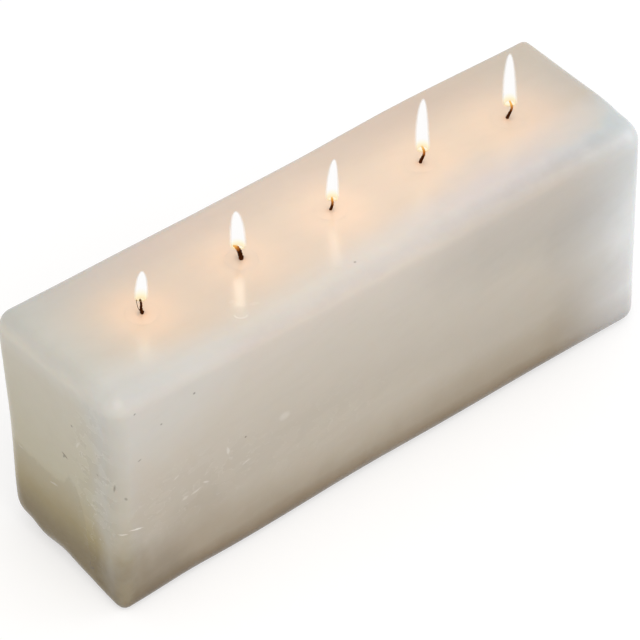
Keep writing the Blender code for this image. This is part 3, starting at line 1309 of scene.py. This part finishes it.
def seenStraight(graph):
    # 1 for what the camera sees straight on, in a gloss or through glass
    camera = graph.node("ShaderNodeLightPath", {}, {}, output="Is Camera Ray")
    gloss = graph.maths("MAXIMUM", camera, camera.other("Is Glossy Ray"))
    return graph.maths("MAXIMUM", gloss, camera.other("Is Transmission Ray"))


def makeFloor():
    shape = bmesh.new()
    parts = stage["floorParts"]
    reach = stage["floorSize"] / 2
    bmesh.ops.create_grid(shape, x_segments=parts, y_segments=parts, size=reach)
    floor = newObject("floor", newMesh("floor", shape))
    finish = Finish("paleFloor")
    seenWhite = finish.blend(seenStraight(finish), tint("000000"), tint("ffffff"))
    finish.surface(BaseColor=tint(stage["floorColour"]), Roughness=1.0)
    finish.surface(EmissionColor=seenWhite, EmissionStrength=stage["floorGlow"])
    finish.noShine()
    floor.data.materials.append(finish.material)


def makeSky():
    world = bpy.data.worlds.new("studio")
    world.use_nodes = True
    world.node_tree.nodes.clear()
    bpy.context.scene.world = world
    sky = Graph(world.node_tree)
    lit = {"Color": tint(stage["skyColour"]), "Strength": stage["skyLight"]}
    light = sky.node("ShaderNodeBackground", {}, lit)
    white = sky.node("ShaderNodeBackground", {}, {"Color": tint("ffffff"), "Strength": 1.0})
    either = sky.node("ShaderNodeMixShader", {}, {0: seenStraight(sky), 1: light, 2: white})
    sky.node("ShaderNodeOutputWorld", {}, {"Surface": either})


lamps = {
    "softbox": {"place": (-0.5, -1.0, 1.6), "size": 1.4, "watts": 11.5, "colour": "fff6ec"},
    "sideWindow": {"place": (1.4, -0.9, 0.5), "size": 0.9, "watts": 5.0, "colour": "e6efff"},
}
# each flame lights the wax, and shows in its gloss as a few glowing spots up the flame;
# heights are shares of the way from the flame's foot to its tip
flameLight = {
    "glow": {
        "watts": 0.011,
        "colour": "ffb870",
        "radius": 5 * millimetre,
        "height": 0.5,
    },
    "gleam": {
        "watts": 0.0011,
        "colour": "fff2d8",
        "radius": 3.4 * millimetre,
        "heights": (0.4, 0.6, 0.78, 0.95),
    },
}


def addLamp(name, kind, place, watts, colour):
    light = bpy.data.lights.new(name, kind)
    light.energy = watts
    light.color = tint(colour)[:3]
    lamp = newObject(name, light)
    lamp.location = place
    return lamp


def addFlameLamp(name, place, look, strength):
    lamp = addLamp(name, "POINT", place, look["watts"] * strength, look["colour"])
    lamp.data.shadow_soft_size = look["radius"]
    return lamp


def makeFlameLamps(number):
    foot, tip = flameEnds(number)
    glow = flameLight["glow"]
    lamp = addFlameLamp(f"flame_glow_{number}", foot.lerp(tip, glow["height"]), glow, 1.0)
    lamp.visible_glossy = False
    gleam = flameLight["gleam"]
    for at, height in enumerate(gleam["heights"], 1):
        name = f"flame_gleam_{number}_{at}"
        strength = wicks[number - 1]["gleam"]
        lamp = addFlameLamp(name, foot.lerp(tip, height), gleam, strength)
        lamp.visible_diffuse = False


def makeLamps():
    target = Vector((0.0, 0.0, blockHeight / 2))
    for name, values in lamps.items():
        lamp = addLamp(name, "AREA", values["place"], values["watts"], values["colour"])
        lamp.data.shape = "SQUARE"
        lamp.data.size = values["size"]
        lamp.rotation_euler = (target - lamp.location).to_track_quat("-Z", "Y").to_euler()
    for number in wickNumbers:
        makeFlameLamps(number)


camera = {
    "place": (-0.9681, -1.1325, 1.3095),
    "azimuth": -40.246,
    "elevation": 39.727,
    "roll": -0.169,
    "lens": 187.87,
    "sensor": 36.0,
    "nearest": 0.05,
    "farthest": 50.0,
}


def makeCamera():
    data = bpy.data.cameras.new("camera")
    data.sensor_width = camera["sensor"]
    data.lens = camera["lens"]
    data.clip_start = camera["nearest"]
    data.clip_end = camera["farthest"]
    seen = newObject("camera", data)
    turn = Matrix.Rotation(math.radians(camera["azimuth"]), 4, "Z")
    tilt = Matrix.Rotation(math.radians(90 - camera["elevation"]), 4, "X")
    roll = Matrix.Rotation(math.radians(camera["roll"]), 4, "Z")
    seen.matrix_world = Matrix.Translation(camera["place"]) @ turn @ tilt @ roll
    bpy.context.scene.camera = seen


makeFloor()
makeSky()
makeLamps()
makeCamera()
bpy.context.scene.view_settings.view_transform = "Standard"
print("stage, lamps and camera made")
